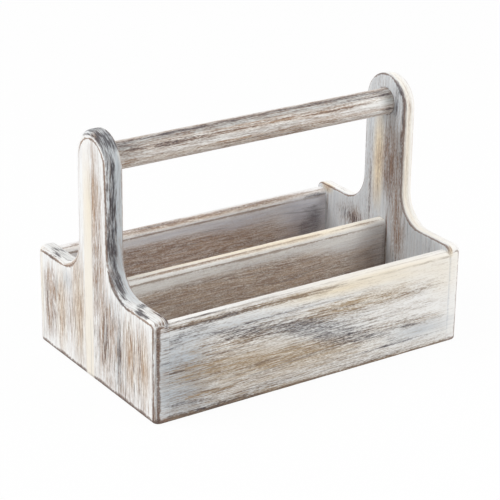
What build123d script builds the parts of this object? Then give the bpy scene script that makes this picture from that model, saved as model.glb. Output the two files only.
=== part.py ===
import os

from build123d import *

# Wooden table caddy: two end panels that rise into uprights, two long boards,
# a divider, a base panel and a round carrying handle. Millimetres, +Z up.
# X runs along the handle and Y across it. The origin is under the middle, on the table.

# Overall sizes
length = 250.0
width = 158.0
top_height = 178.0

# Thickness of each piece of stock
end_thickness = 11.0
board_thickness = 11.0
divider_thickness = 11.0
base_thickness = 6.0

# Height of the long boards and the divider, and how far the shoulders stand above them
board_height = 69.0
shoulder_rise = 4.0

# Outline of the end panels
upright_width = 44.0
sweep_radius = 23.0
ear_radius = 5.5

# Sanded arrises, and the most that a rounding takes of a board or of the ear's curve
outer_arris_radius = 4.5
inner_arris_chamfer = 0.9
board_edge_radius = 4.0
foot_radius = 2.0
board_heel_radius = 0.8
most_of_thickness = 0.45
most_of_curve = 0.9

# Carrying handle, its axis below the top of the uprights
handle_diameter = 19.0
handle_drop = 20.0
handle_end_chamfer = 1.0

# Base panel, held in grooves on all four sides
base_lift = 4.0
groove_depth = 4.0
groove_play = 0.2

# Housings in the end panels that take the divider
housing_depth = 4.0
housing_play = 0.1

# Pins hidden in the joints between the end panels and the long boards
pin_diameter = 6.0
pin_length = 24.0
pin_margin = 15.0
pin_chamfer = 0.6

# Wood left behind blind holes, glue line round a pin, and room past an end
blind_wall = 4.0
glue_gap = 0.05
end_gap = 0.3

# Places worked out from the sizes
half_length = length / 2
half_width = width / 2
half_upright = upright_width / 2
inner_face = half_length - end_thickness
board_inner_face = half_width - board_thickness
board_middle = half_width - board_thickness / 2
shoulder_height = board_height + shoulder_rise
handle_height = top_height - handle_drop
base_top = base_lift + base_thickness
blind_depth = end_thickness - blind_wall
pin_places = [
    (side * board_middle, level)
    for side in (-1, 1)
    for level in (base_top + pin_margin, board_height - pin_margin)
]


def end_outline():
    """Outline of an end panel: square ears, swept shoulders and a round-topped upright."""
    sweep_out = half_upright + sweep_radius
    sweep_top = shoulder_height + sweep_radius
    top_centre = top_height - half_upright
    ear_start = shoulder_height - ear_radius
    side = Line((half_width, 0), (half_width, ear_start))
    side += RadiusArc(side @ 1, (half_width - ear_radius, shoulder_height), -ear_radius)
    side += Line((half_width - ear_radius, shoulder_height), (sweep_out, shoulder_height))
    side += RadiusArc((sweep_out, shoulder_height), (half_upright, sweep_top), sweep_radius)
    side += Line((half_upright, sweep_top), (half_upright, top_centre))
    top = ThreePointArc((half_upright, top_centre), (0, top_height), (-half_upright, top_centre))
    foot = Line((-half_width, 0), (half_width, 0))
    return make_face(side.edges() + mirror(side, Plane.YZ).edges() + top.edges() + foot.edges())


def board_section(thickness, bottom, top):
    """Upright section of a board with both top arrises rounded over."""
    section = Rectangle(thickness, top - bottom, align=(Align.CENTER, Align.MIN))
    corners = section.vertices().group_by(Axis.Y)[-1]
    radius = min(board_edge_radius, most_of_thickness * thickness)
    return Pos(0, bottom) * fillet(corners, radius)


def end_blank():
    """Left end panel with its arrises sanded, before any joint is cut."""
    blank = Plane.YZ.offset(-half_length) * end_outline()
    blank = extrude(blank, end_thickness)
    outer_face = blank.faces().sort_by(Axis.X)[0]
    outer_edges = [e for e in outer_face.edges() if e.bounding_box().max.Z > foot_radius]
    blank = fillet(outer_edges, min(outer_arris_radius, most_of_curve * ear_radius))
    inner = blank.faces().sort_by(Axis.X)[-1]
    inner_edges = [e for e in inner.edges() if e.bounding_box().max.Z > foot_radius]
    blank = chamfer(inner_edges, inner_arris_chamfer)
    # The inner arris stays square where a long board butts against it
    strip = 2 * inner_arris_chamfer
    strip_top = min(board_height - board_edge_radius, shoulder_height - ear_radius)
    for side in (-1, 1):
        place = Pos(-inner_face - strip / 2, side * (half_width - strip / 2), strip_top / 2)
        blank += place * Box(strip, strip, strip_top)
    foot = blank.faces().sort_by(Axis.Z)[0]
    foot_edges = [e for e in foot.edges() if e.bounding_box().min.X < -inner_face - foot_radius]
    return fillet(foot_edges, foot_radius)


def left_end():
    """Left end panel with its blind bore, pin holes, groove and housing."""
    panel = end_blank()
    at_inner_face = Plane.YZ.offset(-inner_face)
    bore = Pos(0, handle_height) * Circle(handle_diameter / 2 + glue_gap)
    panel -= extrude(at_inner_face * bore, -blind_depth)
    for place in pin_places:
        hole = Pos(*place) * Circle(pin_diameter / 2 + glue_gap)
        panel -= extrude(at_inner_face * hole, -blind_depth)
    groove_half = board_inner_face + groove_depth
    groove = Pos(0, base_lift) * Rectangle(
        2 * groove_half, base_thickness + groove_play, align=(Align.CENTER, Align.MIN)
    )
    panel -= extrude(at_inner_face * groove, -groove_depth)
    housing_width = divider_thickness + 2 * housing_play
    housing = board_section(housing_width, base_top, board_height + housing_play)
    return panel - extrude(at_inner_face * housing, -housing_depth)


def front_board():
    """Front board, grooved for the base panel and bored at both ends for its pins."""
    section = board_section(board_thickness, 0, board_height)
    section = fillet(section.vertices().group_by(Axis.Y)[0].sort_by(Axis.X)[0], foot_radius)
    section = fillet(section.vertices().group_by(Axis.Y)[0].sort_by(Axis.X)[-1], board_heel_radius)
    section = Pos(-board_middle, 0) * section
    board = extrude(Plane.YZ.offset(-inner_face) * section, 2 * inner_face)
    groove = Box(2 * inner_face, groove_depth, base_thickness + groove_play, align=Align.MIN)
    board -= Pos(-inner_face, -board_inner_face - groove_depth, base_lift) * groove
    hole_depth = pin_length - blind_depth + end_gap
    hole = Circle(pin_diameter / 2 + glue_gap)
    for across, level in pin_places:
        if across < 0:
            for end in (-1, 1):
                mouth = Plane.YZ.offset(end * inner_face) * Pos(across, level) * hole
                board -= extrude(mouth, -end * hole_depth)
    return board


def board_pins(side):
    """The four glued pins of one long board, two at each end."""
    pins = []
    for across, level in pin_places:
        if across * side > 0:
            for end in (-1, 1):
                pin = Rot(0, 90, 0) * Cylinder(pin_diameter / 2, pin_length)
                pin = chamfer(pin.edges().filter_by(GeomType.CIRCLE), pin_chamfer)
                middle = inner_face + blind_depth - pin_length / 2
                pins.append(Pos(end * middle, across, level) * pin)
    return Compound(children=pins)


def divider():
    """Middle board, its ends let into the housings of the end panels."""
    reach = inner_face + housing_depth - end_gap
    section = board_section(divider_thickness, base_top, board_height)
    return extrude(Plane.YZ.offset(-reach) * section, 2 * reach)


def base_panel():
    """Thin bottom panel, loose in its four grooves."""
    along = 2 * (inner_face + groove_depth - end_gap)
    across = 2 * (board_inner_face + groove_depth - end_gap)
    return Pos(0, 0, base_lift) * Box(
        along, across, base_thickness, align=(Align.CENTER, Align.CENTER, Align.MIN)
    )


def handle_rod():
    """Round rod glued into the blind bores of both uprights."""
    rod = Cylinder(handle_diameter / 2, 2 * (inner_face + blind_depth - end_gap))
    rod = chamfer(rod.edges().filter_by(GeomType.CIRCLE), handle_end_chamfer)
    return Pos(0, 0, handle_height) * Rot(0, 90, 0) * rod


left_panel = left_end()
front = front_board()
pieces = {
    "left_end_panel": left_panel,
    "right_end_panel": mirror(left_panel, Plane.YZ),
    "front_board": front,
    "back_board": mirror(front, Plane.XZ),
    "divider": divider(),
    "base_panel": base_panel(),
    "handle_rod": handle_rod(),
    "front_board_pins": board_pins(-1),
    "back_board_pins": board_pins(1),
}

os.makedirs("parts", exist_ok=True)
for name, piece in pieces.items():
    export_step(piece, f"parts/{name}.step")
    print(name, round(piece.volume / 1000, 2), "cm3")
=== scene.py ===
import math

import bmesh
import bpy
import numpy as np
from mathutils import Matrix, Vector
from mathutils.kdtree import KDTree


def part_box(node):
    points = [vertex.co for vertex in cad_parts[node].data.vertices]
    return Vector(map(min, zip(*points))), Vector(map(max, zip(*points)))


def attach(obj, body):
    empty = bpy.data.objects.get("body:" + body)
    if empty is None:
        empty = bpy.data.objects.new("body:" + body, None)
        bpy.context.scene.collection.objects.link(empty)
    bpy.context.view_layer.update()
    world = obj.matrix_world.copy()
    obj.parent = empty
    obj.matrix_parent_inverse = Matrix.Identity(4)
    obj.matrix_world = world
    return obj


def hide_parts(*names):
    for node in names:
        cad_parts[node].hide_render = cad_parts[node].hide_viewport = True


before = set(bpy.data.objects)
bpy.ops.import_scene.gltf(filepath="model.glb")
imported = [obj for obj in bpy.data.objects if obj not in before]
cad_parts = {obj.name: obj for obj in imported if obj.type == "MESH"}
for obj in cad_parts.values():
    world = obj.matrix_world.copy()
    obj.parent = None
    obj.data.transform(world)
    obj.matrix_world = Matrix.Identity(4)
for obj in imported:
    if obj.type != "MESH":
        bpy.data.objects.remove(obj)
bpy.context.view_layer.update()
mm = 0.001
weld = 0.001  # points closer than this, in mm, are one
body = "root"
print("stage: frame loaded")

# Places of the faces that carry the finish, in mm, read from the frame
leftLow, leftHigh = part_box("left_end_panel")
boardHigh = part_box("front_board")[1]
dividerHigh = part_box("divider")[1]
halfLength = -leftLow.x / mm
halfWidth = leftHigh.y / mm
innerEnd = -leftHigh.x / mm
boardTop = boardHigh.z / mm
boardInside = -boardHigh.y / mm
dividerHalf = dividerHigh.y / mm
faceDepth = 2.0  # how far the marks on one piece's face reach in
sideDepth = 3.0  # and those that run over several pieces
footStrip = 3.0  # the dark line along the foot, partly sanded wood and partly painted shade under the rounded foot, lies this close to the outer faces
longFibres = 1.6  # on the end panels, the front board and the handle
woodSeed = 21  # one seed for the panels and boards, so that the strokes run on from piece to piece
layerNames = ("worn", "dark", "cream", "cool", "calm", "rim")


# Helpers for node trees and objects

def feed(socket, value):  # links another socket, or sets a plain value
    if isinstance(value, bpy.types.NodeSocket):
        socket.id_data.links.new(value, socket)
    else:
        socket.default_value = value


def addNode(tree, kind, inputs=None, **settings):
    node = tree.nodes.new(kind)
    for key, value in settings.items():
        setattr(node, key, value)
    for label, value in (inputs or {}).items():
        feed(node.inputs[label], value)
    return node


def output(tree, kind, inputs=None, **settings):  # the first output of a new node
    return addNode(tree, kind, inputs, **settings).outputs[0]


def calc(operation, *values, clamp=False):
    tree = next(v.id_data for v in values if isinstance(v, bpy.types.NodeSocket))
    inputs = dict(enumerate(values))
    return output(tree, "ShaderNodeMath", inputs, operation=operation, use_clamp=clamp)


def vectorCalc(operation, vector, other):
    inputs = {0: vector, 1: other}
    return output(vector.id_data, "ShaderNodeVectorMath", inputs, operation=operation)


def stepUp(value, low, high):  # 0 below low, 1 above high and smooth between, or the other way round
    inputs = {"Value": value, "From Min": low, "From Max": high}
    return output(value.id_data, "ShaderNodeMapRange", inputs, interpolation_type="SMOOTHSTEP")


def mixColours(share, first, second):
    inputs = {0: share, 6: first, 7: second}
    return addNode(share.id_data, "ShaderNodeMix", inputs, data_type="RGBA").outputs[2]


def chooseVector(share, first, second):
    inputs = {0: share, 4: first, 5: second}
    return addNode(share.id_data, "ShaderNodeMix", inputs, data_type="VECTOR").outputs[1]


def noise(vector, scale, detail, seed):
    inputs = {"Vector": vector, "Scale": scale, "Detail": detail, "W": seed}
    return output(vector.id_data, "ShaderNodeTexNoise", inputs, noise_dimensions="4D")


def grainNoise(vector, along, across, detail, seed):  # along and across are features per mm
    return noise(vectorCalc("MULTIPLY", vector, (along, across, across)), 1.0, detail, seed)


def newMaterial(name):
    material = bpy.data.materials.new(name)
    material.use_nodes = True
    return material, material.node_tree, material.node_tree.nodes["Principled BSDF"]


def addObject(name, data):
    made = bpy.data.objects.new(name, data)
    bpy.context.scene.collection.objects.link(made)
    return made


def newGroup(name, kind, inputs, outputs):  # inputs are given by type, with their defaults
    tree = bpy.data.node_groups.new(name, kind)
    for socketType, defaults in inputs.items():
        kindName = "NodeSocket" + socketType
        for label, value in defaults.items():
            socket = tree.interface.new_socket(name=label, in_out="INPUT", socket_type=kindName)
            if value is not None:
                socket.default_value = value
    for label, socketType in outputs.items():
        tree.interface.new_socket(name=label, in_out="OUTPUT", socket_type="NodeSocket" + socketType)
    return tree, addNode(tree, "NodeGroupInput").outputs, addNode(tree, "NodeGroupOutput").inputs


def screen(red, green, blue):  # a colour as a screen shows it, 0 to 255, in linear light
    shares = [c / 255 for c in (red, green, blue)]
    return tuple(s / 12.92 if s < 0.04045 else ((s + 0.055) / 1.055) ** 2.4 for s in shares) + (1.0,)


# Shader groups shared by the wood finishes

strokes = {  # features per mm along and across the grain, detail, and what is added to the seed
    "sway": (0.009, 0.015, 1.0, 0.0),
    "fibre": (0.12, 1.7, 4.0, 0.0),
    "fleck": (0.7, 2.0, 3.0, 2.0),
    "streak": (0.024, 0.6, 3.0, 4.0),
    "drift": (0.014, 0.08, 2.0, 6.0),
    "tone": (0.03, 0.8, 2.0, 9.0),
    "blot": (0.25, 0.8, 3.0, 12.0),
    "ringBend": (0.005, 0.05, 1.0, 0.0),
    "crackRun": (0.03, 0.16, 1.0, 7.0),
    "lineWidth": (0.07, 0.07, 2.0, 0.0),
    "lineSide": (0.55, 0.55, 3.0, 0.0),
    "lineGap": (0.09, 0.09, 2.0, 3.0),
}
washLook = {  # a pair is a slope and an offset, or the ends of a range
    "evened": 0.65,  # how much of the strokes' contrast a calm mark takes away
    "streakShare": 0.6,  # of the wander in wear; the rest is drift
    "wornWander": 1.4,
    "darkBares": 0.2,  # how much wood a dark mark bares
    "swing": (0.9, 0.5),  # of the strokes, by how worn
    "cover": (-0.88, 1.01),
    "coolFrom": 0.6,
    "coolPull": 0.8,
    "creamWarms": 0.8,
    "warmRange": (0.33, 0.67),
    "darkReach": 1.6,
    "pores": (-6.5, -0.45),
    "darkOnset": 2.2,
    "darkCover": 0.88,
    "rings": (0.0, 0.13, 0.11),  # growth rings per mm on each axis
    "ringBend": 3.0,
    "crackWidth": (0.055, 0.01),
    "crackRuns": (0.5, 0.62),
    "crackShade": 0.3,
    "rubbedRange": (0.42, 0.72),
    "soot": (-1.2, 0.5),
    "calmArris": 0.8,
    "heights": (0.3, 0.7, 0.6),  # of the paint, the fibres and the cracks
    "roughness": (-0.12, 0.72),
}


def stroke(kind, vector, seed):
    along, across, detail, extra = strokes[kind]
    return grainNoise(vector, along, across, detail, calc("ADD", seed, extra))


def buildWhitewash():  # a thin white wash, dry-brushed over stained wood, with its grain along X, in mm
    tree, given, out = newGroup("whitewash", "ShaderNodeTree", {
        "Vector": {"Vector": None},
        "Float": {
            "Worn": 0.0, "Dark": 0.0, "Cream": 0.0, "Cool": 0.0, "Arris": 0.0, "Calm": 0.0, "Rim": 0.0,
            "Drift": 0.5, "Swing": 4.9, "Sway": 14.0, "Mottle": 0.25, "Fleck": 0.42, "Seed": 0.0,
        },
        "Color": {
            "Paint": screen(241, 241, 239), "Cool Paint": screen(190, 197, 204),
            "Cream Paint": screen(243, 228, 198), "Stain": screen(177, 147, 120),
            "Deep Stain": screen(128, 103, 89), "Dark Stain And Shade": screen(72, 70, 79),
        },
    }, {"Color": "Color", "Roughness": "Float", "Height": "Float"})
    look = washLook
    seed, worn, dark, calm = (given[k] for k in ("Seed", "Worn", "Dark", "Calm"))
    lively = calc("MULTIPLY_ADD", calm, -look["evened"], 1.0)
    # The grain wanders a little from the straight
    sway = calc("SUBTRACT", stroke("sway", given["Vector"], seed), 0.5)
    sway = calc("MULTIPLY", sway, given["Sway"])
    shift = output(tree, "ShaderNodeCombineXYZ", {"Y": sway, "Z": sway})
    vector = vectorCalc("ADD", given["Vector"], shift)
    kinds = ("fibre", "fleck", "streak", "drift")
    fibre, fleck, streak, drift = (stroke(kind, vector, seed) for kind in kinds)
    # How much wood shows through
    wander = calc("MULTIPLY", drift, 1 - look["streakShare"])
    wander = calc("MULTIPLY_ADD", streak, look["streakShare"], wander)
    wander = calc("SUBTRACT", wander, 0.5)
    bare = calc("MULTIPLY_ADD", dark, look["darkBares"], worn)
    reach = calc("MULTIPLY_ADD", bare, look["wornWander"], given["Drift"])
    wander = calc("MULTIPLY", wander, reach)
    wander = calc("MULTIPLY", wander, lively)
    bare = calc("ADD", bare, wander, clamp=True)
    brush = calc("MULTIPLY_ADD", calc("SUBTRACT", fleck, fibre), given["Fleck"], fibre)
    swing = calc("MULTIPLY_ADD", bare, *look["swing"])
    swing = calc("MULTIPLY", given["Swing"], swing)
    swing = calc("MULTIPLY", swing, lively)
    cover = calc("MULTIPLY_ADD", bare, *look["cover"])
    cover = calc("MULTIPLY_ADD", calc("SUBTRACT", brush, 0.5), swing, cover, clamp=True)
    # Paint and wood colours; the cool paint is also the colour of painted shade, where cool marks stand for
    # shade
    cool = calc("SUBTRACT", streak, look["coolFrom"])
    cool = calc("MULTIPLY_ADD", cool, look["coolPull"], given["Cool"], clamp=True)
    paint = mixColours(cool, given["Paint"], given["Cool Paint"])
    paint = mixColours(given["Cream"], paint, given["Cream Paint"])
    warm = stepUp(stroke("tone", vector, seed), *look["warmRange"])
    warm = calc("MULTIPLY_ADD", given["Cream"], look["creamWarms"], warm, clamp=True)
    stain = mixColours(warm, given["Deep Stain"], given["Stain"])
    colour = mixColours(cover, stain, paint)
    # Dark stain left in the pores, in flecks and small blots; where dark marks stand for shade, these
    # flecks carry that painted shade
    pores = calc("SUBTRACT", stroke("blot", vector, seed), brush)
    pores = calc("MULTIPLY_ADD", pores, given["Mottle"], brush)
    pores = calc("MULTIPLY", calc("SUBTRACT", pores, 0.5), lively)
    pores = calc("MULTIPLY_ADD", pores, *look["pores"])
    specks = calc("MULTIPLY_ADD", dark, look["darkReach"], pores, clamp=True)
    specks = calc("MULTIPLY", specks, calc("MULTIPLY", dark, look["darkOnset"], clamp=True))
    specks = calc("MULTIPLY", specks, look["darkCover"])
    colour = mixColours(specks, colour, given["Dark Stain And Shade"])
    # Fine open grain, one line every few mm, showing here and there
    across = addNode(tree, "ShaderNodeVectorMath", {0: vector, 1: look["rings"]}, operation="DOT_PRODUCT")
    rings = stroke("ringBend", vector, seed)
    rings = calc("MULTIPLY_ADD", rings, look["ringBend"], across.outputs["Value"])
    line = calc("ABSOLUTE", calc("SUBTRACT", calc("FRACT", rings), 0.5))
    runs = stepUp(stroke("crackRun", vector, seed), *look["crackRuns"])
    crack = calc("MULTIPLY", stepUp(line, *look["crackWidth"]), runs)
    shade = calc("MULTIPLY", crack, look["crackShade"])
    colour = mixColours(shade, colour, given["Dark Stain And Shade"])
    # Arrises sanded back to the stain
    light = stepUp(brush, *look["rubbedRange"])
    rubbed = mixColours(light, given["Deep Stain"], given["Stain"])
    sooty = calc("MULTIPLY_ADD", brush, *look["soot"])
    sooty = calc("ADD", sooty, given["Rim"], clamp=True)
    rubbed = mixColours(sooty, rubbed, given["Dark Stain And Shade"])
    share = calc("MULTIPLY_ADD", calm, -look["calmArris"], 1.0)
    share = calc("MULTIPLY", given["Arris"], share)
    colour = mixColours(share, colour, rubbed)
    # Relief and gloss
    paintHeight, fibreHeight, crackDepth = look["heights"]
    height = calc("MULTIPLY_ADD", cover, paintHeight, calc("MULTIPLY", fibre, fibreHeight))
    height = calc("SUBTRACT", height, calc("MULTIPLY", crack, crackDepth))
    feed(out["Color"], colour)
    feed(out["Roughness"], calc("MULTIPLY_ADD", cover, *look["roughness"]))
    feed(out["Height"], height)
    return tree


arrisLook = {
    "ragged": 2.0,  # in widths
    "reach": (2.2, -0.35),
    "leastReach": 0.3,
    "fade": (1.3, 0.4),
    "gapFade": 0.12,
    "speckle": (1.3, 0.3),
}


def buildSandedArris():  # a broken line of bare wood beside an arris; distances in mm
    tree, given, out = newGroup("sanded arris", "ShaderNodeTree", {
        "Vector": {"Vector": None},
        "Float": {"Distance": 0.0, "Offset": 0.0, "Width": 1.0, "Breaks": 0.4, "Seed": 0.0},
    }, {"Mask": "Float"})
    look = arrisLook
    vector, seed, width = given["Vector"], given["Seed"], given["Width"]
    slow, fine, gaps = (stroke(kind, vector, seed) for kind in ("lineWidth", "lineSide", "lineGap"))
    away = calc("ABSOLUTE", calc("SUBTRACT", given["Distance"], given["Offset"]))
    ragged = calc("MULTIPLY", width, look["ragged"])
    ragged = calc("MULTIPLY", calc("SUBTRACT", fine, 0.5), ragged)
    away = calc("ADD", away, ragged)
    reach = calc("MAXIMUM", calc("MULTIPLY_ADD", slow, *look["reach"]), look["leastReach"])
    reach = calc("MULTIPLY", width, reach)
    line = stepUp(away, *(calc("MULTIPLY", reach, share) for share in look["fade"]))
    line = calc("MULTIPLY", line, calc("MULTIPLY_ADD", fine, *look["speckle"], clamp=True))
    above = calc("ADD", given["Breaks"], look["gapFade"])
    below = calc("SUBTRACT", given["Breaks"], look["gapFade"])
    feed(out["Mask"], calc("MULTIPLY", line, stepUp(gaps, below, above)))
    return tree


whitewash = buildWhitewash()
sandedArris = buildSandedArris()
print("stage: shader groups built")

finish = {
    "bump": 0.5,
    "bumpDepth": 0.3,  # mm
    "specular": 0.3,
    "rimWidens": 0.8,  # how much wider a rim mark makes a sanded line
}


def attribute(tree, name):
    node = addNode(tree, "ShaderNodeAttribute", attribute_type="GEOMETRY", attribute_name=name)
    return node.outputs["Fac"]


def woodMaterial(name, seed, arrises, values=None, run=1.0, upright=False):
    # Each arris: its attribute, offset and width in mm, how broken, strength. Run makes the fibres longer
    material, tree, shader = newMaterial(name)
    place = addNode(tree, "ShaderNodeTexCoord").outputs["Object"]
    scale = (1 / mm / run, 1 / mm, 1 / mm)
    vector = output(tree, "ShaderNodeMapping", {"Vector": place, "Scale": scale})
    if upright:  # the grain runs upward, and the long boards' brush strokes run on over the edges
        scale, quarter = (1 / mm, 1 / mm, 1 / mm / run), (0.0, math.radians(90), 0.0)
        turned = output(tree, "ShaderNodeMapping", {"Vector": place, "Scale": scale, "Rotation": quarter})
        vector = chooseVector(attribute(tree, "sideways"), turned, vector)
    rubbed = 0.0
    for count, (label, offset, width, breaks, strength) in enumerate(arrises):
        widened = calc("MULTIPLY_ADD", attribute(tree, "rim"), finish["rimWidens"] * width, width)
        line = output(tree, "ShaderNodeGroup", {
            "Vector": vector, "Distance": attribute(tree, label), "Offset": offset, "Width": widened,
            "Breaks": breaks, "Seed": seed + count,
        }, node_tree=sandedArris)
        rubbed = calc("MAXIMUM", rubbed, calc("MULTIPLY", line, strength))
    if upright:  # on the panel's edges the strokes follow the outline
        outline = output(tree, "ShaderNodeCombineXYZ", {
            "X": calc("DIVIDE", attribute(tree, "alongEdge"), run), "Y": attribute(tree, "acrossEdge"),
        })
        vector = chooseVector(attribute(tree, "edgewise"), vector, outline)
    wash = addNode(tree, "ShaderNodeGroup", {
        "Vector": vector, "Arris": rubbed, "Seed": seed, **(values or {}),
        **{label.title(): attribute(tree, label) for label in layerNames},
    }, node_tree=whitewash)
    relief = output(tree, "ShaderNodeBump", {
        "Strength": finish["bump"], "Distance": finish["bumpDepth"] * mm, "Height": wash.outputs["Height"],
    })
    feed(shader.inputs["Base Color"], wash.outputs["Color"])
    feed(shader.inputs["Roughness"], wash.outputs["Roughness"])
    feed(shader.inputs["Normal"], relief)
    feed(shader.inputs["Specular IOR Level"], finish["specular"])
    return material


# Geometry trees

def buildWoodRelief():  # raises the grain and lets sanded faces wander a little
    tree, given, out = newGroup("wood relief", "GeometryNodeTree", {
        "Geometry": {"Geometry": None},
        "Vector": {"Grain": (0.1, 0.8, 0.8)},
        "Float": {"Fibre Depth": 0.1, "Swell Size": 14.0, "Swell Depth": 0.3, "Seed": 0.0},
        "Material": {"Finish": None},
    }, {"Geometry": "Geometry"})
    detail, seed = 2.0, given["Seed"]
    place = output(tree, "GeometryNodeInputPosition")
    place = output(tree, "ShaderNodeVectorMath", {0: place, "Scale": 1 / mm}, operation="SCALE")
    fibre = noise(vectorCalc("MULTIPLY", place, given["Grain"]), 1.0, detail, seed)
    swell = noise(place, calc("DIVIDE", 1.0, given["Swell Size"]), detail, seed)
    fibre = calc("MULTIPLY", calc("SUBTRACT", fibre, 0.5), given["Fibre Depth"])
    swell = calc("MULTIPLY", calc("SUBTRACT", swell, 0.5), given["Swell Depth"])
    height = calc("MULTIPLY", calc("ADD", fibre, swell), mm)
    normal = output(tree, "GeometryNodeInputNormal")
    rise = output(tree, "ShaderNodeVectorMath", {0: normal, "Scale": height}, operation="SCALE")
    shape = given["Geometry"]
    shape = output(tree, "GeometryNodeSetPosition", {"Geometry": shape, "Offset": rise})
    shape = output(tree, "GeometryNodeSetShadeSmooth", {"Geometry": shape})
    shape = output(tree, "GeometryNodeRealizeInstances", {"Geometry": shape})
    inputs = {"Geometry": shape, "Material": given["Finish"]}
    feed(out["Geometry"], output(tree, "GeometryNodeSetMaterial", inputs))
    return tree


def buildTurnedRod():  # a fine round bar along X, its ends closed
    tree, given, out = newGroup("turned rod", "GeometryNodeTree", {
        "Geometry": {"Geometry": None},
        "Float": {"Radius": 9.5, "Half Length": 100.0, "Height": 100.0, "Step": 0.8},
        "Int": {"Sides": 80},
    }, {"Geometry": "Geometry"})
    radius, half, height, step = (
        calc("MULTIPLY", given[k], mm) for k in ("Radius", "Half Length", "Height", "Step")
    )
    start = output(tree, "ShaderNodeCombineXYZ", {"X": calc("MULTIPLY", half, -1.0), "Z": height})
    end = output(tree, "ShaderNodeCombineXYZ", {"X": half, "Z": height})
    line = output(tree, "GeometryNodeCurvePrimitiveLine", {"Start": start, "End": end})
    steps = {"Curve": line, "Length": step}
    line = output(tree, "GeometryNodeResampleCurve", steps, mode="LENGTH")
    circle = {"Resolution": given["Sides"], "Radius": radius}
    circle = output(tree, "GeometryNodeCurvePrimitiveCircle", circle)
    rod = {"Curve": line, "Profile Curve": circle, "Fill Caps": True}
    feed(out["Geometry"], output(tree, "GeometryNodeCurveToMesh", rod))
    return tree


woodRelief = buildWoodRelief()
turnedRod = buildTurnedRod()
print("stage: geometry trees built")


# Meshes

def mergedCopy(node):
    joined = bmesh.new()
    joined.from_mesh(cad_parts[node].data)
    bmesh.ops.remove_doubles(joined, verts=joined.verts, dist=weld * mm)
    return joined


def applied(mesh, prepare):  # the plain mesh that a modifier makes of this one
    holder = addObject("holder", mesh)
    prepare(holder)
    bpy.context.view_layer.update()
    graph = bpy.context.evaluated_depsgraph_get()
    made = bpy.data.meshes.new_from_object(holder.evaluated_get(graph))
    bpy.data.objects.remove(holder)
    return made


def treeModifier(tree, values):
    def prepare(holder):
        modifier = holder.modifiers.new(tree.name, "NODES")
        modifier.node_group = tree
        for item in tree.interface.items_tree:
            if item.in_out == "INPUT" and item.name in values:
                modifier[item.identifier] = values[item.name]
    return prepare


def fineMesh(node, voxel, runOn=0.0):  # the node's form in small even faces, each end run on along X, in mm
    joined = mergedCopy(node)
    reach = max(v.co.x for v in joined.verts) - 10 * weld * mm
    for v in joined.verts:
        if abs(v.co.x) > reach:
            v.co.x += math.copysign(runOn * mm, v.co.x)
    mesh = bpy.data.meshes.new(node)
    joined.to_mesh(mesh)
    joined.free()

    def prepare(holder):
        remesh = holder.modifiers.new("fine", "REMESH")
        remesh.mode = "VOXEL"
        remesh.voxel_size = voxel * mm
    return applied(mesh, prepare)


def pointsOf(mesh):
    places = np.zeros(len(mesh.vertices) * 3, np.float32)
    mesh.vertices.foreach_get("co", places)
    return places.reshape(-1, 3).astype(float) / mm


def store(mesh, name, values):
    layer = mesh.attributes.get(name) or mesh.attributes.new(name, "FLOAT", "POINT")
    layer.data.foreach_set("value", np.asarray(values, np.float32))


def arrisDistance(node, points, axis, places, keep=None):
    # Signed distance in mm to the border of the flat faces at these places: below 0 on the faces
    spacing, square, closeBy, onPlane = 0.4, 0.9999, 0.01, 0.04
    joined = mergedCopy(node)
    samples = []

    def isFlat(face):
        place = face.verts[0].co[axis] / mm
        return abs(face.normal[axis]) > square and any(abs(place - p) < closeBy for p in places)

    for edge in joined.edges:
        if sum(isFlat(face) for face in edge.link_faces) == 1:
            start, end = (v.co / mm for v in edge.verts)
            count = max(1, round((end - start).length / spacing))
            samples += [start.lerp(end, k / count) for k in range(count + 1)]
    joined.free()
    if keep:
        samples = [s for s in samples if keep(s)]
    near = KDTree(len(samples))
    for k, s in enumerate(samples):
        near.insert(s, k)
    near.balance()
    away = np.array([near.find(p)[2] for p in points])
    onFace = np.min([np.abs(points[:, axis] - p) for p in places], axis=0) < onPlane
    return np.where(onFace, -away, away)


def storeArrises(mesh, node, points, arrises):
    for label, (axis, places, keep) in arrises.items():
        store(mesh, label, arrisDistance(node, points, axis, places, keep))


def spreadMarks(first, second, marks):
    # Each mark: across, up, half width, half height, strength, then lean in degrees and squareness
    reach, softness, start = 1.25, 0.35, 0.15
    total = np.zeros(len(first))
    for across, up, halfWide, halfHigh, strength, *rest in marks:
        lean, power = (rest + [0, 2][len(rest):])[:2]
        turn = math.radians(lean)
        right, over = first - across, second - up
        alongMark = np.abs(right * math.cos(turn) + over * math.sin(turn)) / halfWide
        acrossMark = np.abs(over * math.cos(turn) - right * math.sin(turn)) / halfHigh
        away = (alongMark ** power + acrossMark ** power) ** (1 / power)
        total = 1 - (1 - total) * (1 - strength * np.clip((reach - away) * softness * power + start, 0, 1))
    return total


def faceMarks(points, axis, place, marks, depth):  # marks on one flat face, fading round its edges
    first, second = [k for k in range(3) if k != axis]
    fade = 1.5  # the marks are gone at this many depths
    nearFace = np.clip(fade - np.abs(points[:, axis] - place) / depth, 0, 1)
    return spreadMarks(points[:, first], points[:, second], marks) * nearFace


def seededMarks(seed, acrossRange, upRange, upright, count, strength):
    # Long marks along the grain, for a face with nothing to follow
    longHalves, shortHalves, strengths = (14, 42), (2.0, 6.5), (0.5, 1.0)
    draw = np.random.default_rng(seed)
    marks = []
    for _ in range(count):
        longHalf, shortHalf = draw.uniform(*longHalves), draw.uniform(*shortHalves)
        across, up = draw.uniform(*acrossRange), draw.uniform(*upRange)
        halves = (shortHalf, longHalf) if upright else (longHalf, shortHalf)
        marks.append((across, up, *halves, strength * draw.uniform(*strengths)))
    return marks


def blankLayers(points):
    return {name: np.zeros(len(points)) for name in layerNames}


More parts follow.
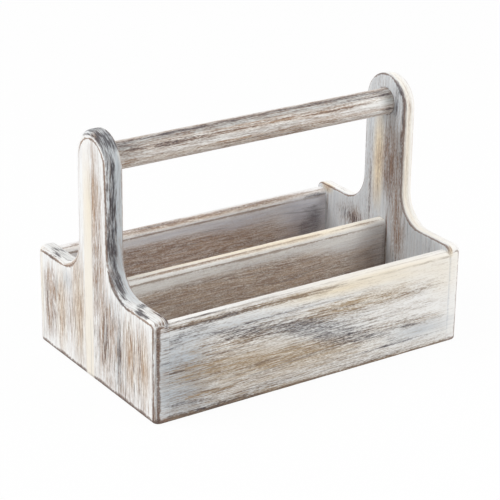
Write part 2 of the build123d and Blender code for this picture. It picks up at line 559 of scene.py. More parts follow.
def addMarks(layers, points, axis, place, face, depth):
    for name, marks in face.items():
        more = faceMarks(points, axis, place, marks, depth)
        if name == "plain":  # a paler lath with no wear
            layers["worn"] *= 1 - more
            layers["dark"] *= 1 - more
            layers["calm"] = np.maximum(layers["calm"], more)
        else:
            layers[name] = 1 - (1 - layers[name]) * (1 - more)


def storeLayers(mesh, layers):
    for label, values in layers.items():
        store(mesh, label, values)


def finishPiece(name, node, mesh, material, relief):
    values = {"Finish": material, "Seed": float(woodSeed), **relief}
    made = applied(mesh, treeModifier(woodRelief, values))
    made.name = name
    piece = addObject(name, made)
    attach(piece, body)
    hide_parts(node)
    print("piece:", name, len(made.polygons), "faces")
    return piece


# Front face of the caddy, which runs over the front board and both panel edges; X and Z in mm
frontFace = {
    # the worn, dark and rim marks at z 0 to 2 make the dark line along the foot, partly sanded wood and
    # partly painted shade under the rounded foot
    "worn": [
        (-55, 66, 66, 1.7, 1, 0, 4), (-12, 64.8, 30, 2, 0.6), (-62, 45, 32, 4.5, 0.7, -3),
        (-50, 28, 60, 9, 0.9, -3), (-15, 20, 66, 8, 0.8, -4), (-75, 35, 34, 6, 0.65),
        (-65, 14, 42, 3.5, 0.7), (-90, 14, 12, 1.5, 0.6), (4, 24, 34, 6, 0.6, -8),
        (30, 51, 42, 4.2, 0.92, 2), (50, 46, 54, 3.8, 0.78), (76, 49, 25, 5, 0.5), (8, 47, 26, 3, 0.5),
        (70, 35, 36, 5, 0.4), (60, 26, 42, 3, 0.75), (86, 23, 22, 3, 0.7), (-20, 10, 70, 4, 0.4),
        (60, 6, 50, 3, 0.5), (-60, 6, 60, 3, 0.5), (-70, 1.2, 66, 3, 1, 0, 4), (60, 1.5, 60, 2.5, 0.7),
        (-40, 32, 80, 30, 0.25, 0, 4), (-121.5, 71, 3.5, 1.6, 1), (-114, 68, 0.6, 2, 0.8),
        (115.6, 70, 1.6, 4, 1), (-88, 28, 22, 22, 0.35), (-45, 47, 40, 8, 0.35, -6),
    ],
    "dark": [
        (-46, 48, 28, 6.5, 0.5, -6), (-12, 44, 24, 8, 0.45, -16), (8, 36, 28, 7, 0.42, -14),
        (26, 27, 30, 6, 0.44, -8), (44, 21, 26, 3.5, 0.45, -3), (78, 22, 14, 1.4, 0.8, -4),
        (-64, 50, 16, 3, 0.45, 4), (-80, 55, 32, 3, 0.45, -4), (-84, 66, 32, 1.3, 0.66, 0, 4),
        (-36, 66, 40, 1.1, 0.55), (-121.5, 71, 3.2, 1.3, 0.45), (-116.5, 68.5, 2.2, 3, 0.65),
        (-112, 36, 8, 34, 0.2, 0, 4), (-45, 56.5, 36, 0.8, 0.8, 1), (-5, 58.5, 30, 0.7, 0.5, 2),
        (-96, 61, 26, 4, 0.5, 4), (-112, 53, 10, 0.8, 0.7, 4), (-118, 43, 5, 0.8, 0.9),
        (-108, 35, 14, 0.7, 0.5), (-108, 12, 12, 1, 0.6), (-96, 9.5, 18, 3, 0.5, -6),
        (-88, 1.8, 46, 3.2, 0.65, 0, 4), (-30, 1, 70, 2.2, 0.3, 0, 4), (60, 1.2, 50, 2, 0.4),
        (62, 10.5, 44, 0.9, 0.8), (68, 13.5, 14, 2.4, 0.5, -6), (35, 5, 30, 1.5, 0.4),
        (10, 40, 60, 14, 0.22, -8), (115.2, 40, 0.8, 28, 0.12), (-60, 34, 60, 14, 0.12),
        (40, 30, 60, 12, 0.15, -3),
    ],
    "cream": [
        (75, 61, 46, 7.5, 0.45), (20, 63, 44, 4, 0.8), (60, 67, 60, 2.5, 0.5), (115.6, 70, 1.6, 4, 0.9),
        (110, 50, 14, 12, 0.3), (-50, 26, 60, 11, 0.25, -4), (0, 21, 44, 7, 0.2, -6), (40, 50, 50, 5, 0.3),
    ],
    # (-107, 30) is partly blue-grey wash and partly painted shade, darker towards the left end of the front
    "cool": [
        (-107, 30, 24, 32, 1, 0, 3), (-70, 59, 50, 6, 0.6), (0, 57, 60, 3, 0.3), (90, 16, 30, 8, 0.7),
        (-60, 5, 60, 3, 0.4), (20, 36, 50, 10, 0.35, -10), (-20, 46, 40, 8, 0.4, -10),
    ],
    "plain": [(118, 38, 5, 34, 0.6, 0, 4), (76, 60, 40, 6, 0.4), (60, 66.4, 56, 2.4, 0.8)],
    "rim": [(-123, 36, 4, 50, 0.42, 0, 4), (-80, 1, 50, 4, 0.4), (40, 1, 80, 3, 0.1)],
    "calm": [(-50, 24, 62, 16, 0.45, -3, 4), (-40, 34, 50, 8, 0.3)],
}
# Back face, with marks drawn by a seed
backFace = {
    "worn": seededMarks(31, (-120, 120), (2, 68), False, 24, 0.7),
    "dark": seededMarks(32, (-110, 110), (5, 60), False, 6, 0.6),
    "cream": seededMarks(33, (-80, 100), (30, 66), False, 3, 0.7),
    "cool": seededMarks(34, (-120, 120), (2, 68), False, 8, 0.6),
}


def sideLayers(points):  # marks that the long faces share
    layers = blankLayers(points)
    addMarks(layers, points, 1, -halfWidth, frontFace, sideDepth)
    addMarks(layers, points, 1, halfWidth, backFace, sideDepth)
    return layers


# End panels

footLine = ("footArris", 2.2, 2.0, 0.0, 1.0)
endForm = {  # in mm
    "voxel": 0.8,
    "upright": 22.0,  # half its width
    "sweep": 23.0,  # radius
    "shoulder": 73.0,  # height
    "grain": (0.8, 0.8, 0.09),  # raised strokes per mm on each axis
    "innerStart": 0.2,  # the edges' marks start this far from the inner face
    "innerFade": 0.5,
    "outerStart": 0.02,  # and this far from the outer one
    "outerFade": 0.25,
    "shoulderFade": 1.5,
    "runOver": 5.0,  # how far in the boards' strokes run on round the front and back faces
    "jointClear": 1.0,  # how far the sanded lines keep from the boards
    "earClear": 2.0,
    # The outer arris is sanded further in above the boards, and more so on the round top
    "sanded": ((0.7, boardTop), (1.3, 130.0)),
    "sandedFade": 30.0,
}
leftEnd = {
    "outside": {  # Y and Z in mm on the outer face
        # the worn, dark and rim marks at z 0 to 1 make the dark line along the foot, partly sanded wood and
        # partly painted shade under the rounded foot
        "worn": [
            (61, 36, 7.5, 23, 0.85, 0, 3), (46, 34, 5, 26, 0.75), (34, 38, 4, 18, 0.35),
            (21, 50, 8.5, 38, 0.8), (-3, 132, 8, 34, 1), (-5, 84, 7, 28, 0.95), (-14, 42, 6, 28, 1),
            (-8, 40, 4, 34, 0.5), (5, 130, 3, 22, 0.35), (-24, 44, 6, 22, 0.65), (-34, 32, 4, 30, 0.4),
            (-46, 38, 7, 24, 0.8), (-63, 36, 8, 24, 0.75), (-30, 7, 34, 5, 0.3),
            (36, 32, 40, 24, 0.22, 0, 4), (-44, 34, 34, 28, 0.26, 0, 4), (-8, 72, 13, 60, 0.22, 0, 4),
            (0, 0.4, 80, 1.4, 0.95), (26, 70, 5, 12, 0.4),
        ],
        "dark": [
            (65.5, 36, 2, 20, 0.6), (60, 32, 5, 18, 0.2), (-33.5, 34, 2.2, 30, 0.62),
            (-4, 130, 4, 24, 0.15), (-31, 22, 0.9, 20, 0.8), (-0.8, 34, 0.7, 34, 0.7),
            (33, 30, 0.9, 22, 0.4), (4.6, 152, 0.6, 20, 0.6), (-3.4, 152, 0.5, 14, 0.4),
            (-15, 36, 4, 24, 0.62), (-24, 58, 5, 10, 0.35), (-52, 26, 1.4, 18, 0.5), (0, 0.3, 80, 1, 0.6),
            (-9, 90, 3, 18, 0.3), (-40, 32, 34, 28, 0.2, 0, 4),
        ],
        "cream": [
            (6.8, 52, 4.9, 92, 0.4, 0, 6), (4, 124, 5, 24, 0.35), (21, 44, 8, 34, 0.5),
            (46, 36, 8, 28, 0.4), (-47, 38, 8, 22, 0.3), (-64, 36, 8, 22, 0.3), (74.5, 44, 3, 30, 0.5),
        ],
        "plain": [(6.8, 52, 4.9, 92, 0.92, 0, 6), (76, 42, 2.5, 34, 0.8, 0, 4)],
        "cool": [
            (-20, 66, 20, 10, 0.35), (38, 60, 8, 8, 0.7), (-33, 30, 8, 30, 0.6), (52, 52, 3, 9, 0.7),
            (-8, 78, 5, 16, 0.5),
        ],
        "calm": [(19.5, 128, 4.5, 42, 1, 0, 4)],
        "rim": [
            (-29, 82, 9, 15, 1), (-38, 71, 9, 7, 1), (-20, 130, 5, 52, 0.75), (-8, 174, 12, 5, 0.5),
            (60, 70, 9, 4, 0.7), (-79, 36, 6, 50, 0.12, 0, 4), (0, 0, 90, 4, 0.65, 0, 4),
        ],
    },
    "inside": {
        "worn": seededMarks(41, (-60, 60), (12, 170), True, 20, 0.6),
        "dark": seededMarks(42, (-60, 60), (12, 70), True, 4, 0.5),
        "cream": seededMarks(43, (-20, 20), (60, 150), True, 2, 0.8),
        "cool": [(0, 60, 90, 60, 0.3)],
    },
    "edge": {  # X, and mm up the front edge from the foot of the upright: the shoulder is below -36
        "worn": [
            (-115, -62, 2.6, 12, 1), (-124, 45, 2, 36, 0.3), (-121.5, 6, 2.6, 24, 0.3),
            (-124, 92, 4, 6, 0.5),
        ],
        "dark": [
            (-121.2, 44, 1.7, 42, 0.8), (-121.2, 6, 2.1, 32, 0.9), (-121.4, -17, 3.4, 8, 0.95),
            (-122.4, -28, 1.4, 6, 0.8), (-123.6, 36, 3.2, 46, 0.52, 0, 4), (-124.4, 8, 2.2, 14, 0.5),
            (-118.8, 80, 6.5, 2.4, 1, -56), (-121.5, 86, 4.5, 2.8, 1), (-125, 72, 1.8, 6, 0.7),
            (-120.5, 86, 8, 14, 0.62, 0, 4), (-118, 40, 3.4, 40, 0.28), (-123.8, -48, 2.4, 6, 1, 0, 3),
            (-118.4, -43, 3, 3.6, 0.9, 0, 3), (-123.6, -57, 1.2, 3.5, 1), (-119, -52, 5, 16, 0.25),
            (-115, -61, 1.6, 10, 0.7), (-114.8, -66, 1.5, 8, 0.9),
        ],
        "cream": [(-119, -52, 8, 18, 0.12)],
        "cool": [
            (-120, 88, 8, 14, 0.8), (-118, 28, 3.4, 56, 1, 0, 4), (-123, 30, 4, 50, 0.8, 0, 4),
            (-119, -42, 6, 26, 0.6),
        ],
    },
    "backEdge": {
        "worn": [(-125, -26, 1.2, 7, 0.6)],
        "dark": [
            (-120.5, 90, 8, 9, 0.62, 0, 4), (-123, -47, 2, 6.5, 0.85), (-118.2, -52, 6.5, 2.2, 0.9, 65),
            (-121.8, -31, 0.9, 9, 0.9), (-119, 60, 6, 60, 0.15), (-119, -44, 6, 20, 0.25),
        ],
        "cream": [(-119, -40, 8, 26, 0.12)],
        "cool": [(-119, -42, 6, 26, 0.6), (-119, 40, 6, 50, 0.3), (-120, 90, 8, 12, 0.8)],
    },
    "values": {
        "Mottle": 0.35, "Fleck": 0.25, "Paint": screen(246, 246, 245), "Cool Paint": screen(190, 197, 202),
        "Dark Stain And Shade": screen(60, 55, 61),
    },
    "arrises": [
        ("outerArris", 1.0, 1.15, 0.2, 1.0), ("innerArris", 0.6, 0.9, 0.35, 0.8),
        ("frontArris", 2.1, 1.3, 0.0, 1.0), ("footArris", 2.0, 2.0, 0.0, 1.0),
    ],
}
rightEnd = {
    "values": {
        "Stain": screen(162, 134, 114), "Deep Stain": screen(114, 91, 79), "Paint": screen(249, 248, 245),
    },
    "outside": {
        "worn": [
            *seededMarks(51, (-70, 70), (10, 160), True, 26, 0.85), (0, 36, 74, 30, 0.2, 0, 4),
            (0, 110, 16, 60, 0.2),
        ],
        "dark": seededMarks(52, (-70, 70), (10, 60), True, 6, 0.7),
        "cream": seededMarks(53, (-20, 20), (30, 120), True, 2, 0.9),
        "cool": seededMarks(54, (-70, 70), (5, 170), True, 5, 0.4),
    },
    "inside": {
        "worn": [
            (-6, 115, 8, 24, 1), (-7, 114, 6, 30, 0.8), (-16.5, 84, 6.5, 32, 0.8), (-22, 62, 7, 24, 0.9),
            (-16, 125, 6, 26, 0.65), (0, 110, 22, 60, 0.2), (14, 92, 2, 32, 0.35), (5.5, 112, 5, 28, 0.3),
            (-20.5, 138, 1.6, 36, 0.9), (29, 58, 8, 8, 0.5), (66, 72, 6, 4, 0.7),
            (-6.8, 40, 1.4, 32, 1, 0, 4), (36, 58, 14, 9, 0.55), (65.4, 62, 1.2, 11, 0.8),
        ],
        # (-12, 156) here and (-12, 155) under cool are the handle's painted shadow on this face; (0, 110)
        # under cool greys the whole inner face, partly as painted shade
        "dark": [
            (-7, 116, 6, 22, 0.3), (-12, 156, 5, 9, 0.75), (-20.5, 150, 1.6, 26, 0.8),
            (14, 90, 1.6, 30, 0.6), (0, 165, 20, 12, 0.25), (-17, 169, 4, 5, 0.8), (30, 57, 9, 5, 0.35),
            (44, 59, 8, 5, 0.45), (16, 68, 3, 14, 0.4), (-12, 100, 6, 16, 0.25),
            (-6.6, 40, 1.2, 32, 0.45, 0, 4), (36, 60, 14, 10, 0.3),
        ],
        "cream": [(5.5, 112, 5.5, 30, 0.9, 0, 3), (66, 72, 6, 4, 0.8)],
        "cool": [(0, 110, 90, 90, 0.7, 0, 6), (-12, 155, 12, 14, 0.6)],
        "plain": [(0, 80, 6, 10, 0.8)],
        "calm": [(-8, 105, 18, 40, 0.5), (-9, 62, 4, 14, 0.7)],
        "rim": [(-20, 135, 6, 42, 0.25), (-14, 170, 9, 8, 1), (8, 176, 12, 4, 0.6), (21, 120, 3, 26, 0.7)],
    },
    "edge": {
        "worn": [(118.6, 30, 0.9, 50, 0.4), (118.8, 64, 1.2, 14, 0.5)],
        "cream": [(124, 20, 1.5, 60, 0.6), (118, 20, 3, 70, 0.6)],
        "calm": [(119, 20, 8, 80, 0.7)],
    },
    "backEdge": {"dark": [(119, -45, 2, 9, 0.4)], "cream": [(115, -60, 2, 8, 0.8)]},
    "arrises": [
        ("outerArris", 1.1, 1.0, 0.4, 0.5), ("innerArris", 0.7, 1.0, 0.15, 0.95),
        ("frontArris", 2.2, 1.0, 0.15, 0.95), footLine,
    ],
}


def edgeRun(y, z):  # how far up the edge a point is, from where the sweep meets the upright
    half, sweep = endForm["upright"], endForm["sweep"]
    sweepTop = endForm["shoulder"] + sweep
    topCentre = leftHigh.z / mm - half
    overTop = topCentre - sweepTop + half * np.arctan2(z - topCentre, y)
    inSweep = -sweep * np.arctan2(sweepTop - z, half + sweep - y)
    onShoulder = -sweep * math.pi / 2 - (y - half - sweep)
    below = np.where(y < half + sweep, inSweep, onShoulder)
    return np.where(z > topCentre, overTop, np.where(z > sweepTop, z - sweepTop, below))


def markEdges(mesh, points, layers, look):  # the shoulders, the upright's edges and its round top
    form = endForm
    x, y, z = np.abs(points[:, 0]), np.abs(points[:, 1]), points[:, 2]
    onEdge = np.clip((x - innerEnd - form["innerStart"]) / form["innerFade"], 0, 1)
    onEdge *= np.clip((halfLength - form["outerStart"] - x) / form["outerFade"], 0, 1)
    onEdge *= np.clip((z - boardTop) / form["shoulderFade"], 0, 1)
    up = edgeRun(y, z)
    overTop = edgeRun(np.zeros(1), np.full(1, leftHigh.z / mm))[0]
    store(mesh, "alongEdge", np.sign(points[:, 1]) * (overTop - up))
    store(mesh, "acrossEdge", points[:, 0])
    store(mesh, "edgewise", onEdge > 0.5)
    inFront, behind = np.clip(1 - points[:, 1], 0, 1), np.clip(points[:, 1], 0, 1)
    for part, share in (("edge", inFront), ("backEdge", behind)):
        for label, marks in look[part].items():
            more = spreadMarks(points[:, 0], up, marks) * share * onEdge
            layers[label] = 1 - (1 - layers[label]) * (1 - more)


def buildEndPanel(name, node, look, side):
    mesh = fineMesh(node, endForm["voxel"])
    points = pointsOf(mesh)
    x, y, z = np.abs(points[:, 0]), np.abs(points[:, 1]), points[:, 2]
    layers = sideLayers(points)
    addMarks(layers, points, 0, side * halfLength, look["outside"], faceDepth)
    addMarks(layers, points, 0, side * innerEnd, look["inside"], faceDepth)
    markEdges(mesh, points, layers, look)
    storeLayers(mesh, layers)
    # The boards' strokes run on over the panel's front and back edges, up to the shoulders
    clear = endForm["jointClear"]
    onFront = (y - halfWidth > x - halfLength) & (y > halfWidth - endForm["runOver"])
    store(mesh, "sideways", onFront & (z < boardTop + clear))
    fade = endForm["sandedFade"]
    further = sum(by * np.clip((z - level) / fade, 0, 1) for by, level in endForm["sanded"])
    store(mesh, "outerArris", arrisDistance(node, points, 0, [side * halfLength]) + further)

    # Lines are left out where a board butts against the panel, and round the ears
    def aboveBoards(s):
        return s.z > boardTop + clear

    def offJoint(s):
        return abs(s.x) > innerEnd + clear and s.z < boardTop - endForm["earClear"]

    def roundFoot(s):
        return abs(s.x) > innerEnd + clear or abs(s.y) > halfWidth - footStrip

    storeArrises(mesh, node, points, {
        "innerArris": (0, [side * innerEnd], aboveBoards),
        "frontArris": (1, [-halfWidth, halfWidth], offJoint),
        "footArris": (2, [0], roundFoot),
    })
    material = woodMaterial(name + "Finish", woodSeed, look["arrises"], look["values"], longFibres, True)
    return finishPiece(name, node, mesh, material, {"Grain": endForm["grain"]})


buildEndPanel("leftEnd", "left_end_panel", leftEnd, -1)
buildEndPanel("rightEnd", "right_end_panel", rightEnd, 1)
print("stage: end panels made")


# Long boards and divider

dividerWall = {  # X and Z in mm; stained walls under a ragged band of wash, with painted shade at the right-hand end
    "worn": [
        (-10, 42.5, 110, 18, 1, 0, 4), (0, 18, 120, 16, 1, 0, 4), (96, 38, 16, 20, 0.5, 0, 3),
        (0, 62, 130, 4, 0.15),
    ],
    # (104, 42) in dark, (104, 42) in cool and (102, 44) in calm: painted shade, a smooth grey-blue corner
    # where the divider meets the right end panel
    "dark": [(104, 42, 14, 18, 0.35, 0, 3), (-10, 33, 100, 5, 0.15), (113, 45, 1.2, 26, 0.25, 0, 4)],
    "plain": [(76, 57, 26, 5, 0.85, -4), (-84, 60.5, 30, 3, 0.8), (0, 61.5, 130, 2.5, 0.5, 0, 4)],
    "cool": [(80, 52, 26, 6, 0.5), (104, 42, 16, 20, 1), (0, 60, 130, 5, 0.3)],
    "calm": [(0, 28, 130, 32, 0.6, 0, 6), (102, 44, 18, 24, 1, 0, 4)],
}
backWall = {
    "worn": [
        (-20, 42.5, 100, 17.5, 1, 0, 4), (0, 18, 120, 16, 1, 0, 4), (70, 40, 40, 12, 0.5),
        (0, 62, 130, 4, 0.15),
    ],
    # (100, 46) in dark, (96, 46) in cool and (98, 46) in calm: painted shade in the corner at the
    # right-hand end of each compartment
    "dark": [(100, 46, 14, 20, 0.55, 0, 3), (10, 38, 100, 8, 0.15), (104, 66, 10, 1.8, 0.8)],
    "plain": [
        (34, 57, 36, 4, 0.6), (84, 54, 14, 7, 0.5, 0, 3), (-30, 61, 60, 3, 0.6),
        (0, 61.5, 130, 2.5, 0.6, 0, 4),
    ],
    "cool": [(0, 61, 130, 5, 0.7), (96, 46, 22, 20, 1, 0, 3), (34, 55, 36, 6, 0.8)],
    "calm": [(0, 28, 130, 32, 0.6, 0, 6), (98, 46, 20, 24, 1, 0, 4)],
}
wallValues = {
    "Stain": screen(181, 156, 136), "Deep Stain": screen(148, 126, 113), "Paint": screen(248, 247, 246),
    "Cool Paint": screen(198, 200, 211), "Sway": 8.0, "Swing": 4.4, "Fleck": 0.5,
}
dividerValues = {
    **wallValues, "Stain": screen(187, 164, 143), "Deep Stain": screen(155, 134, 120),
    "Paint": screen(252, 251, 247), "Cool Paint": screen(206, 208, 214),
}
frontValues = {
    "Paint": screen(246, 245, 242), "Stain": screen(173, 151, 123), "Deep Stain": screen(126, 107, 91),
    "Sway": 8.0,
}
topEdge = {  # X and Y in mm on the tops of the boards
    "worn": [
        (-40, -77.4, 60, 1.1, 0.3), (-38, 72.4, 28, 3.8, 1, 0, 3), (34, 71.2, 62, 2.6, 1, 0, 4),
        (-100, 72, 5, 2, 0.7), (-48, -2.9, 46, 1.1, 1, 0, 4), (24, -2.8, 44, 1.6, 0.6),
        (98, -2.8, 10, 1.2, 1), (-50, 3, 50, 0.8, 0.7),
    ],
    "dark": [
        (-86, -75.9, 28, 1, 1), (-40, -75.5, 14, 0.9, 0.6), (-38, 72.4, 30, 3, 0.6),
        (34, 71.2, 60, 2, 0.55), (-50, -2.9, 40, 1, 0.5),
    ],
    "cream": [
        (0, 0.8, 115, 2.2, 0.8), (40, -2.6, 60, 3, 0.9), (0, 67.6, 110, 1.2, 0.5), (40, -74, 70, 3, 0.3),
        (0, 69.5, 120, 1.2, 0.4),
    ],
    "calm": [(0, 0, 130, 70, 0.25, 0, 6), (0, -74, 130, 6, 0.3, 0, 6), (50, -74, 80, 6, 0.7, 0, 6)],
}
boardForm = {
    "voxel": 0.8,
    "grain": (0.09, 0.8, 0.8),
    "overlap": 1.5,  # the ends run into the end panels, so that the flush joint stays closed
    "endClear": 0.5,  # how far the sanded lines keep from the panels
}
outerLine = ("outerArris", 1.0, 1.0, 0.45, 0.8)
topLine = ("topArris", 1.4, 0.8, 0.4, 0.8)
innerLine = ("innerArris", 0.1, 1.0, 0.05, 1.0)
sideLines = [outerLine, topLine, innerLine, footLine]
frontBoard = {
    "walls": {-boardInside: backWall},
    "lines": sideLines,
    "outer": [-halfWidth],
    "inner": [-boardInside],
    "values": frontValues,
    "run": longFibres,
}
backBoard = {
    "walls": {boardInside: backWall},
    "lines": sideLines,
    "outer": [halfWidth],
    "inner": [boardInside],
    "values": wallValues,
    "run": 1.0,
}
dividerBoard = {
    "walls": {-dividerHalf: dividerWall, dividerHalf: backWall},
    "lines": [topLine, innerLine],
    "outer": [],
    "inner": [-dividerHalf, dividerHalf],
    "values": dividerValues,
    "run": 1.0,
}


def buildBoard(name, node, look):
    mesh = fineMesh(node, boardForm["voxel"], boardForm["overlap"] if look["outer"] else 0.0)
    points = pointsOf(mesh)
    layers = sideLayers(points)
    for place, wall in look["walls"].items():
        addMarks(layers, points, 1, place, wall, faceDepth)
    addMarks(layers, points, 2, boardTop, topEdge, faceDepth)
    storeLayers(mesh, layers)

    def offEnds(s):
        return abs(s.x) < innerEnd - boardForm["endClear"]

    def atFoot(s):
        return abs(s.y) > halfWidth - footStrip

    arrises = {"topArris": (2, [boardTop], offEnds), "innerArris": (1, look["inner"], offEnds)}
    if look["outer"]:
        arrises |= {"outerArris": (1, look["outer"], offEnds), "footArris": (2, [0], atFoot)}
    storeArrises(mesh, node, points, arrises)
    material = woodMaterial(name + "Finish", woodSeed, look["lines"], look["values"], look["run"])
    return finishPiece(name, node, mesh, material, {"Grain": boardForm["grain"]})


buildBoard("frontBoard", "front_board", frontBoard)
buildBoard("backBoard", "back_board", backBoard)
buildBoard("dividerBoard", "divider", dividerBoard)
print("stage: boards made")


# Base panel

basePanel = {
    "voxel": 1.2,
    "face": {
        "worn": [(0, 0, 130, 90, 0.65, 0, 6)],
        "calm": [(0, 0, 130, 90, 0.6, 0, 6)],
        "cool": seededMarks(61, (-110, 110), (-65, 65), False, 8, 0.6),
        "dark": seededMarks(62, (-110, 110), (-65, 65), False, 5, 0.4),
    },
}


def buildBase():
    mesh = fineMesh("base_panel", basePanel["voxel"])
    points = pointsOf(mesh)
    layers = blankLayers(points)
    low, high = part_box("base_panel")
    for level in (high.z, low.z):
        addMarks(layers, points, 2, level / mm, basePanel["face"], sideDepth)
    storeLayers(mesh, layers)
    material = woodMaterial("basePanelFinish", woodSeed, [])
    relief = {"Grain": boardForm["grain"]}
    return finishPiece("basePanel", "base_panel", mesh, material, relief)


buildBase()
print("stage: base panel made")


# Handle

handle = {  # marks in mm along the rod and degrees round it, from the top towards the front
    "step": 0.8,
    "sides": 90,
    "worn": [
        (0, 60, 130, 90, 0.45, 0, 6), (-66, 14, 32, 10, 0.9), (48, 14, 24, 9, 0.8), (-50, 40, 18, 9, 0.6),
        (-10, 36, 100, 16, 0.35), (-56, 60, 32, 14, 1), (16, 58, 52, 14, 0.95), (62, 64, 30, 12, 0.8),
        (-20, 109, 92, 13, 0.8), (72, 104, 28, 5, 0.6), (110, 106, 6, 10, 1), (-62, 47, 28, 10, 0.5),
        (0, 6, 130, 12, 0.65), (-100, 106, 18, 16, 0.6), (-84, 62, 22, 14, 0.6), (0, 135, 110, 14, 0.6),
        *seededMarks(71, (-105, 105), (-160, -20), False, 14, 0.8),
    ],
    # (110, 45) here, (112, 56) under cool and (112, 45) under calm: painted shade on the rod's right end,
    # where it meets the end panel
    "dark": [
        (-58, 60, 30, 14, 0.6), (10, 66, 54, 9, 0.38), (60, 64, 28, 8, 0.2), (110, 106, 6, 9, 1),
        (-110, 70, 8, 3, 0.6), (-64, 14, 34, 9, 0.6), (0, 8, 124, 14, 0.5), (-80, 64, 24, 12, 0.45),
        (85, 40, 30, 3, 0.5), (100, 44, 14, 2, 0.6), (0, 128, 110, 10, 0.3), (0, 28, 120, 20, 0.33, 0, 4),
        (-104, 45, 14, 30, 0.55), (110, 45, 8, 26, 0.5), (40, 14, 50, 8, 0.3), (80, 14, 30, 8, 0.3),
    ],
    "cream": [(-20, 109, 92, 12, 0.3), (0, 60, 100, 14, 0.2)],
    "cool": [(112, 56, 8, 36, 1), (-104, 60, 16, 40, 1), (0, 24, 120, 22, 0.9, 0, 4), (0, 84, 80, 8, 0.3)],
    "calm": [(110, 106, 6, 9, 0.9), (96, 76, 18, 12, 0.8), (112, 45, 8, 30, 0.6)],
    "plain": [(94, 78, 22, 12, 1), (105, 72, 8, 16, 0.8), (10, 71, 90, 4, 0.55), (0, 41, 90, 3, 0.35)],
    "seed": woodSeed + 4,
    "swell": 0.4,
    "values": {
        "Sway": 2.0, "Drift": 0.9, "Swing": 4.0, "Mottle": 0.2, "Fleck": 0.4,
        "Paint": screen(250, 249, 246), "Cool Paint": screen(192, 196, 195),
        "Stain": screen(172, 144, 121), "Deep Stain": screen(126, 102, 86),
    },
}


def buildHandle():
    low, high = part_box("handle_rod")
    sizes = {
        "Radius": (high.z - low.z) / 2 / mm,
        "Half Length": high.x / mm,
        "Height": (high.z + low.z) / 2 / mm,
        "Step": handle["step"],
        "Sides": handle["sides"],
    }
    mesh = applied(bpy.data.meshes.new("rod"), treeModifier(turnedRod, sizes))
    points = pointsOf(mesh)
    angle = np.degrees(np.arctan2(-points[:, 1], points[:, 2] - sizes["Height"]))
    layers = {label: spreadMarks(points[:, 0], angle, handle.get(label, [])) for label in layerNames}
    bright = 1 - spreadMarks(points[:, 0], angle, handle["plain"])
    for label in ("worn", "dark"):
        layers[label] *= bright
    storeLayers(mesh, layers)
    material = woodMaterial("handleFinish", handle["seed"], [], handle["values"], longFibres)
    relief = {"Grain": boardForm["grain"], "Swell Depth": handle["swell"], "Seed": float(handle["seed"])}
    return finishPiece("handleRod", "handle_rod", mesh, material, relief)


buildHandle()
print("stage: handle made")


# Hidden pins keep their own solids and get bare wood

pins = {
    "light": screen(214, 184, 142),
    "deep": screen(176, 138, 96),
    "grain": (0.1, 1.4, 3.0, 2.0),  # features per mm along and across, detail, seed
    "tones": (0.35, 0.65),
    "roughness": (0.2, 0.6),
}


def bareWood():
    material, tree, shader = newMaterial("barePinWood")
    place = addNode(tree, "ShaderNodeTexCoord").outputs["Object"]
    place = output(tree, "ShaderNodeMapping", {"Vector": place, "Scale": (1 / mm, 1 / mm, 1 / mm)})
    grain = grainNoise(place, *pins["grain"])
    share = stepUp(grain, *pins["tones"])
    feed(shader.inputs["Base Color"], mixColours(share, pins["deep"], pins["light"]))
    feed(shader.inputs["Roughness"], calc("MULTIPLY_ADD", grain, *pins["roughness"]))
    return material


pinWood = bareWood()
for node in ("front_board_pins", "back_board_pins"):
    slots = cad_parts[node].data.materials
    slots.clear()
    slots.append(pinWood)
print("stage: pins finished")


# Stage, lamps and camera

lighting = {
    "ambient": 0.5,
    "key": {"place": (-2.0, 0.95, 2.2), "size": 1.7, "watts": 53.0},
    "fill": {"place": (0.75, -0.75, 0.75), "size": 0.7, "watts": 6.0},
    "aim": (0, 0, 0.07),
    "floorReach": 6.0,
    "floorColour": screen(236, 236, 236),
    "floorRoughness": 0.9,
    "floorShow": 0.96,  # how much of the floor's look is plain white, where a camera or a mirror sees it
}
view = {
    "place": (-0.68245, -1.00983, 0.57264),
    "yaw": 34.039,
    "pitch": 22.482,
    "roll": 0.834,
    "lens": 136.215,
    "near": 0.05,
}


def seenDirectly(tree):  # 1 for what the camera sees, also in or through something, and 0 for other light
    path = addNode(tree, "ShaderNodeLightPath")
    seen = calc("MAXIMUM", path.outputs["Is Camera Ray"], path.outputs["Is Glossy Ray"])
    return calc("MAXIMUM", seen, path.outputs["Is Transmission Ray"])


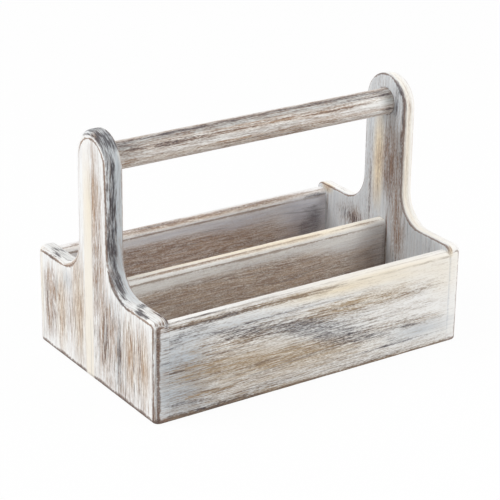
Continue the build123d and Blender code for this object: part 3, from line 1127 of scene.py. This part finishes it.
def buildFloor():
    mesh = bpy.data.meshes.new("floor")
    far = lighting["floorReach"]
    mesh.from_pydata([(-far, -far, 0), (far, -far, 0), (far, far, 0), (-far, far, 0)], [], [(0, 1, 2, 3)])
    floor = addObject("floor", mesh)
    material, tree, shader = newMaterial("paleFloor")
    feed(shader.inputs["Base Color"], lighting["floorColour"])
    feed(shader.inputs["Roughness"], lighting["floorRoughness"])
    glow = output(tree, "ShaderNodeEmission")
    share = calc("MULTIPLY", seenDirectly(tree), lighting["floorShow"])
    blend = output(tree, "ShaderNodeMixShader", {0: share, 1: shader.outputs[0], 2: glow})
    feed(tree.nodes["Material Output"].inputs["Surface"], blend)
    mesh.materials.append(material)


def buildWorld():
    world = bpy.data.worlds.new("studio")
    bpy.context.scene.world = world
    world.use_nodes = True
    tree = world.node_tree
    sky = tree.nodes["Background"]
    ambient = lighting["ambient"]
    share = calc("MULTIPLY_ADD", seenDirectly(tree), 1 - ambient, ambient)
    sky.inputs["Color"].default_value = (1, 1, 1, 1)
    feed(sky.inputs["Strength"], share)


def buildLamp(name, lamp):
    light = bpy.data.lights.new(name, "AREA")
    light.size = lamp["size"]
    light.energy = lamp["watts"]
    holder = addObject(name, light)
    holder.location = lamp["place"]
    aim = Vector(lighting["aim"]) - holder.location
    holder.rotation_euler = aim.to_track_quat("-Z", "Y").to_euler()


def buildCamera():
    yaw, pitch, roll = (math.radians(view[k]) for k in ("yaw", "pitch", "roll"))
    back = Vector((-math.sin(yaw) * math.cos(pitch), -math.cos(yaw) * math.cos(pitch), math.sin(pitch)))
    right = Vector((math.cos(yaw), -math.sin(yaw), 0))
    up = back.cross(right)
    across = right * math.cos(roll) + up * math.sin(roll)
    upward = up * math.cos(roll) - right * math.sin(roll)
    camera = addObject("camera", bpy.data.cameras.new("camera"))
    camera.data.lens = view["lens"]
    camera.data.clip_start = view["near"]
    turn = Matrix((across, upward, back)).transposed().to_4x4()
    camera.matrix_world = Matrix.Translation(view["place"]) @ turn
    bpy.context.scene.camera = camera


buildFloor()
buildWorld()
buildLamp("keyLamp", lighting["key"])
buildLamp("fillLamp", lighting["fill"])
buildCamera()
bpy.context.scene.view_settings.view_transform = "Standard"
print("stage: scene set")
